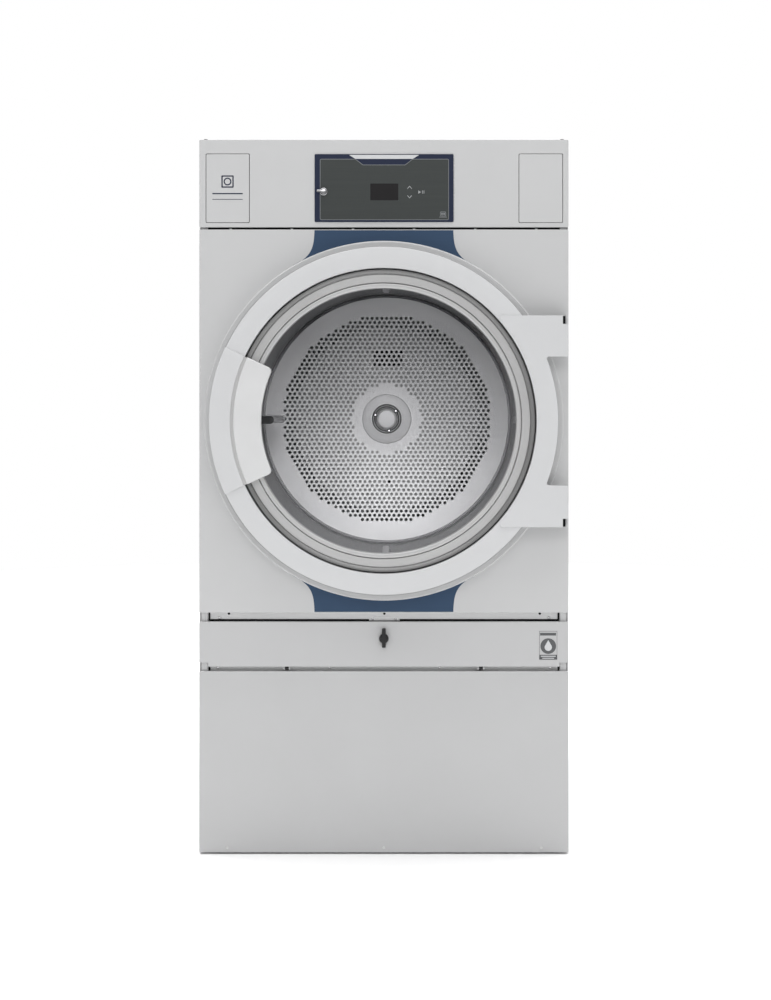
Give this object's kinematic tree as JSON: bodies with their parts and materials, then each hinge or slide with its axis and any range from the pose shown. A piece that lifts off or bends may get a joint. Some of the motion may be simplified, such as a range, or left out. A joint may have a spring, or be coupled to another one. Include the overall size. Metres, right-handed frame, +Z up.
{
  "type": "tumble dryer",
  "caption": "Tall commercial tumble dryer with a round glazed loading door, a driven perforated drum, a lint flap, a hinged control lid and a rear exhaust.",
  "frame": {"origin": "centre of the footprint at floor level, the footprint running from the front of the door handle to the end of the exhaust collar", "axes": "+X to the right as the user faces the door, +Y from the front to the back, +Z up"},
  "size_m": [0.96, 1.172, 1.861],
  "materials": {
    "grey_paint": "light grey powder coat, satin",
    "door_paint": "pale grey powder coat, satin",
    "white_paint": "pale grey moulded plastic, satin",
    "galvanised": "galvanised sheet",
    "steel": "brushed stainless steel",
    "black_plastic": "black moulded plastic",
    "rubber": "black rubber",
    "glass": "clear toughened glass",
    "control_film": "dark satin film with a navy border",
    "chrome": "polished",
    "dark_paint": "dark enamel",
    "screen_mesh": "woven stainless mesh in a steel frame"
  },
  "bodies": {
    "cabinet": {"air_baffle": "galvanised", "base_pan": "galvanised", "bearing_beam": "galvanised", "bearing_housing": "steel", "cable_gland": "black_plastic", "control_hinge_rod": "steel", "cover_plate_left": "grey_paint", "cover_plate_right": "grey_paint", "door_catch": "steel", "drive_belt": "rubber", "drive_motor": "dark_paint", "electronics_tray": "galvanised", "exhaust_collar": "galvanised", "fan_housing": "galvanised", "fan_motor": "dark_paint", "flap_hinge_left": "black_plastic", "flap_hinge_right": "black_plastic", "flap_rail_lower": "grey_paint", "flap_rail_upper": "grey_paint", "foot_front_left": "black_plastic", "foot_front_right": "black_plastic", "foot_rear_left": "black_plastic", "foot_rear_right": "black_plastic", "front_panel": "grey_paint", "heater_box": "galvanised", "hinge_bracket_lower": "grey_paint", "hinge_bracket_upper": "grey_paint", "lint_box": "galvanised", "lint_screen": "screen_mesh", "loading_tunnel": "steel", "lower_panel": "grey_paint", "post_front_left": "grey_paint", "post_front_right": "grey_paint", "rear_panel": "galvanised", "side_panel_left": "grey_paint", "side_panel_right": "grey_paint", "skirt_strip": "black_plastic", "top_fascia": "grey_paint", "top_panel": "grey_paint"},
    "door": {"door_ring": "door_paint", "hinge_plate": "door_paint", "window_bezel": "steel", "door_glass": "glass", "door_seal": "rubber", "door_handle": "white_paint"},
    "drum": {"drum_shell": "steel", "drum_back": "steel", "lifter_top": "steel", "lifter_right": "steel", "lifter_bottom": "steel", "lifter_left": "steel", "drum_hub": "steel", "drum_shaft": "steel", "drum_pulley": "galvanised"},
    "motor_drive": {"motor_pulley": "steel"},
    "fan": {"fan_impeller": "steel"},
    "flap": {"flap": "grey_paint"},
    "flap_lock": {"flap_knob": "black_plastic"},
    "lid": {"control_lid": "control_film"},
    "lid_lock": {"control_lock": "chrome"}
  },
  "joints": [
    {"name": "door_hinge", "type": "hinge", "parent": "cabinet", "child": "door", "pos_m": [0.4708, -0.56, 1.1264], "axis": [0, 0, 1], "range_deg": [0, 165]},
    {"name": "drum_spin", "type": "hinge", "parent": "cabinet", "child": "drum", "pos_m": [0, 0.45, 1.1264], "axis": [0, 1, 0], "continuous": true},
    {"name": "motor_spin", "type": "hinge", "parent": "cabinet", "child": "motor_drive", "pos_m": [0.27, 0.46, 0.22], "axis": [0, 1, 0], "continuous": true},
    {"name": "fan_spin", "type": "hinge", "parent": "cabinet", "child": "fan", "pos_m": [-0.2, 0.2, 0.25], "axis": [0, 1, 0], "continuous": true},
    {"name": "flap_hinge", "type": "hinge", "parent": "cabinet", "child": "flap", "pos_m": [0, -0.5245, 0.482], "axis": [1, 0, 0], "range_deg": [0, 90]},
    {"name": "flap_lock_turn", "type": "hinge", "parent": "flap", "child": "flap_lock", "pos_m": [0, -0.53, 0.561], "axis": [0, 1, 0], "range_deg": [0, 90]},
    {"name": "lid_hinge", "type": "hinge", "parent": "cabinet", "child": "lid", "pos_m": [0.1825, -0.5292, 1.7264], "axis": [0, 0, 1], "range_deg": [0, 90]},
    {"name": "lid_lock_turn", "type": "hinge", "parent": "lid", "child": "lid_lock", "pos_m": [-0.1565, -0.53, 1.7209], "axis": [0, 1, 0], "range_deg": [0, 90]}
  ],
  "couplings": [
    {"joint": "motor_spin", "follows": "drum_spin", "ratio": 7.8333}
  ]
}
